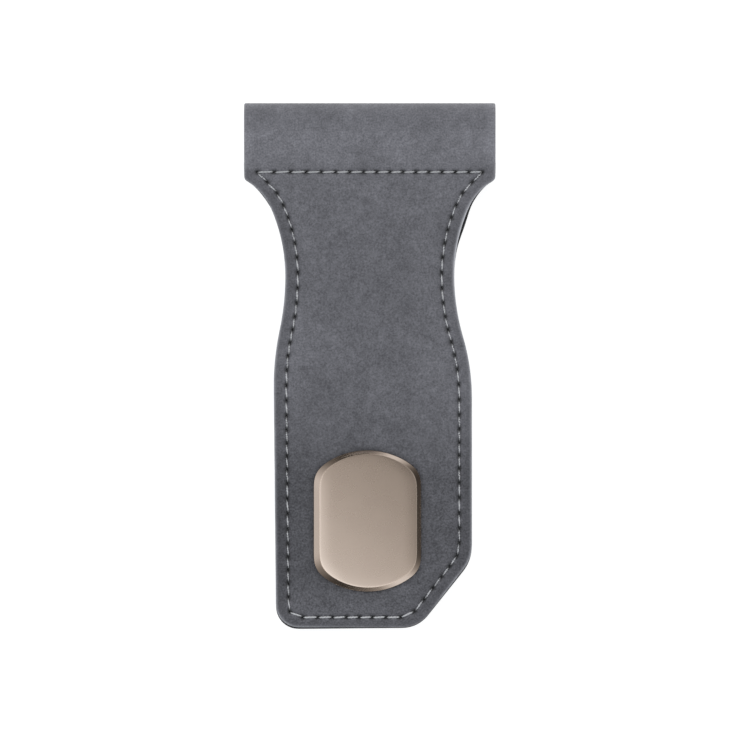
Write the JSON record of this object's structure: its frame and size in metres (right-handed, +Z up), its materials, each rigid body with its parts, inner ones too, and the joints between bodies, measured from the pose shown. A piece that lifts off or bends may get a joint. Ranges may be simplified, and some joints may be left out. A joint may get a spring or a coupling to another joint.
{
  "type": "money clip",
  "caption": "Magnetic leather money clip: two stitched flaps joined by a leather fold at the top, with a bevelled metal plate over the magnet on the front flap.",
  "frame": {"origin": "on the surface that the closed clip lies on, under the centre of its footprint", "axes": "+Z up through both flaps to the plate on the front, +Y towards the fold, +X to the right as the plate is read with the fold at the top"},
  "size_m": [0.0476, 0.1, 0.0077],
  "materials": {
    "nubuck": "grey nubuck with a fine nap",
    "lining": "smooth near-black lining leather",
    "board": "leatherboard with dark painted edges",
    "thread": "light grey twisted polyester",
    "magnet": "nickel-plated magnet",
    "plate": "satin champagne-gold plating",
    "hardware": "zinc-plated steel"
  },
  "bodies": {
    "back_flap": {"back_leather": "nubuck", "back_filler": "board", "back_lining": "lining", "back_magnet": "magnet", "back_needle_thread": "thread", "back_bobbin_thread": "thread", "fold_leather": "nubuck"},
    "front_flap": {"front_leather": "nubuck", "front_filler": "board", "front_lining": "lining", "front_magnet": "magnet", "front_needle_thread": "thread", "front_bobbin_thread": "thread", "clip_plate": "plate", "plate_washers": "hardware", "plate_screws": "hardware"}
  },
  "joints": [
    {"name": "fold_hinge", "type": "hinge", "parent": "back_flap", "child": "front_flap", "pos_m": [0, 0.05, 0.0032], "axis": [-1, 0, 0], "range_deg": [0, 160], "deforming": ["fold_leather"]}
  ]
}
